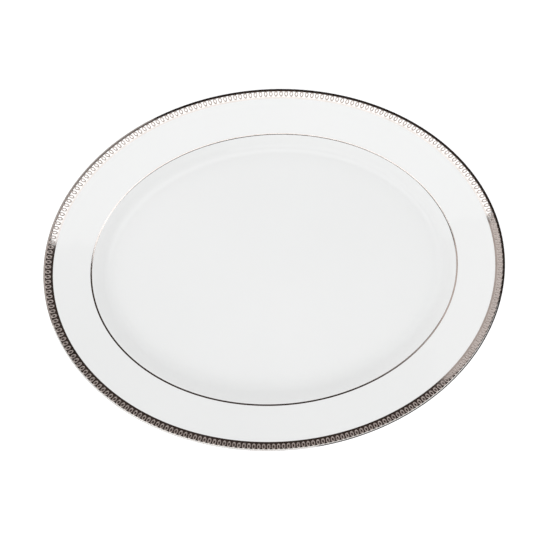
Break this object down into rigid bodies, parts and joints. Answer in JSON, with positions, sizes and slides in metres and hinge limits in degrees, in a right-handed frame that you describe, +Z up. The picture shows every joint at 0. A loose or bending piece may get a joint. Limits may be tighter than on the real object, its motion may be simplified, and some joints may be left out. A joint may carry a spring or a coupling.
{
  "type": "oval serving platter",
  "caption": "Oval porcelain serving platter with a flaring rim, a shallow flat well, a platinum edge band of raised oval rings and a thin platinum well line.",
  "frame": {"origin": "on the table under the middle of the platter, at the underside of the foot ring", "axes": "+X along the length, +Y along the width, +Z up"},
  "size_m": [0.3562, 0.2806, 0.029],
  "materials": {
    "bisque": "fired white china body, matte, hidden under the glaze",
    "foot": "ground and polished bare china",
    "glaze": "clear gloss glaze on white china",
    "platinum": "bright fired platinum lustre"
  },
  "bodies": {
    "root": {"china_body": "bisque", "foot_ring": "foot", "glaze_face": "glaze", "glaze_underside": "glaze", "glaze_recess": "glaze", "lip_strip": "platinum", "band_ground": "platinum", "inner_strip": "platinum", "well_line": "platinum", "ring_chain_back_right": "platinum", "ring_chain_back_left": "platinum", "ring_chain_front_left": "platinum", "ring_chain_front_right": "platinum"}
  },
  "joints": []
}
